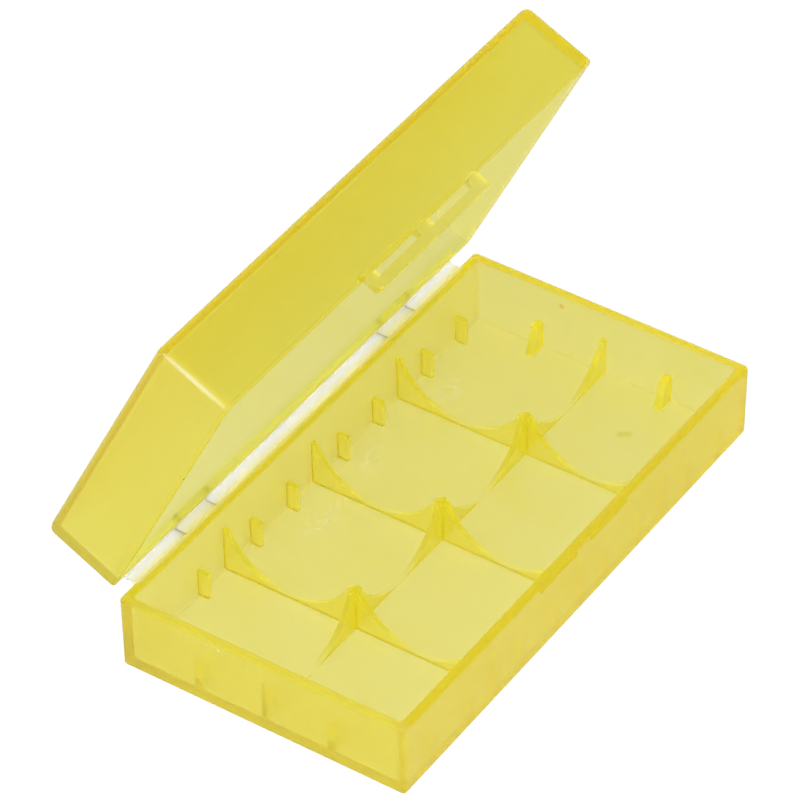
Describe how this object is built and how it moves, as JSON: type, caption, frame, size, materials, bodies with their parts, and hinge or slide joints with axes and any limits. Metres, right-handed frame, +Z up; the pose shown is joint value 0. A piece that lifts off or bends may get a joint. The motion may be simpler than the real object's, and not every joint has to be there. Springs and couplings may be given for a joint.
{
  "type": "battery case",
  "caption": "Translucent plastic battery case: a shallow tray with a cradle rib grid and a lid on a folding film hinge, held shut by a snap flap.",
  "frame": {"origin": "centre of the tray's underside, on the surface the case stands on", "axes": "+X along the case, +Y from the latch to the hinge, +Z up; the lid is stored standing open as in the picture"},
  "size_m": [0.076, 0.0502, 0.052],
  "materials": {
    "yellow_plastic": "satin, translucent",
    "whitened_film": "satin, stress-whitened"
  },
  "bodies": {
    "base": {"base_tray": "yellow_plastic", "hinge_web_left": "whitened_film", "hinge_link_left": "whitened_film", "hinge_web_middle": "whitened_film", "hinge_link_right": "whitened_film", "hinge_web_right": "whitened_film"},
    "lid": {"lid_shell": "yellow_plastic"}
  },
  "joints": [
    {"name": "lid_hinge", "type": "hinge", "parent": "base", "child": "lid", "pos_m": [0, 0.0213, 0.01065], "axis": [-1, 0, 0], "range_deg": [-64, 116], "deforming": ["hinge_web_left", "hinge_link_left", "hinge_web_middle", "hinge_link_right", "hinge_web_right"]}
  ]
}
